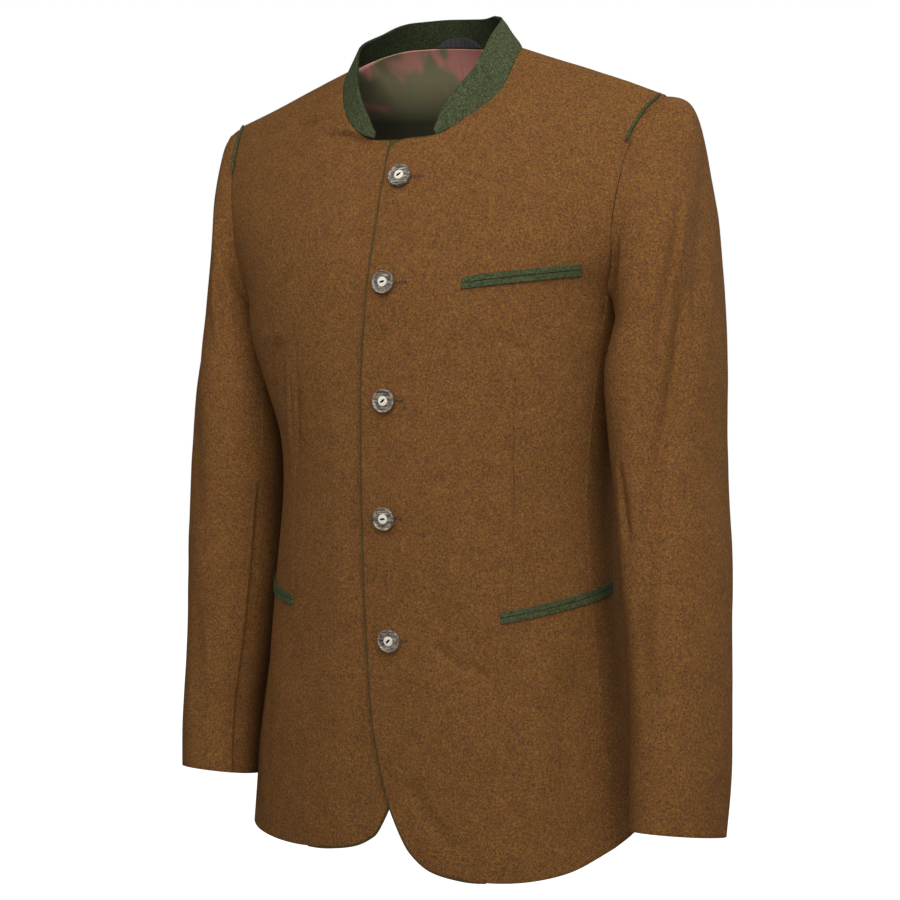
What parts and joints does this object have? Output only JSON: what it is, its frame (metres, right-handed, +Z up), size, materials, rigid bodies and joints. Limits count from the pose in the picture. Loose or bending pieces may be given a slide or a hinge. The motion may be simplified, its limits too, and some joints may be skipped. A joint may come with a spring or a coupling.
{
  "type": "tyrolean loden jacket",
  "caption": "Hip-length men's loden jacket with stand collar, curved front edge, bound pocket mouths and horn buttons, hollow as worn.",
  "frame": {"origin": "midway between the neck ends of the two shoulder seams and 2 mm above them, where the wearer's shoulders carry the jacket", "axes": "+Z up along the wearer's height, -Y towards the front of the jacket, +X towards the wearer's left"},
  "size_m": [0.5741, 0.2518, 0.8109],
  "materials": {
    "loden": "brown melange loden, matt felted nap",
    "green_loden": "green melange loden, matt felted nap",
    "piping": "dark green wool piping, matt",
    "lining": "shot satin lining, soft sheen",
    "loop": "dark grey woven tape, matt",
    "horn": "streaked grey horn, satin polish"
  },
  "bodies": {
    "root": {"front_left": "loden", "front_right": "loden", "side_left": "loden", "side_right": "loden", "back": "loden", "sleeve_upper_left": "loden", "sleeve_upper_right": "loden", "sleeve_under_left": "loden", "sleeve_under_right": "loden", "collar": "green_loden", "breast_welt_upper": "green_loden", "breast_welt_lower": "green_loden", "hip_welt_left_upper": "green_loden", "hip_welt_left_lower": "green_loden", "hip_welt_right_upper": "green_loden", "hip_welt_right_lower": "green_loden", "sleeve_head_piping_left": "green_loden", "sleeve_head_piping_right": "green_loden", "edge_piping_left": "piping", "edge_piping_right": "piping", "back_lining": "lining", "hanger_loop": "loop", "button_1": "horn", "button_2": "horn", "button_3": "horn", "button_4": "horn", "button_5": "horn"}
  },
  "joints": []
}
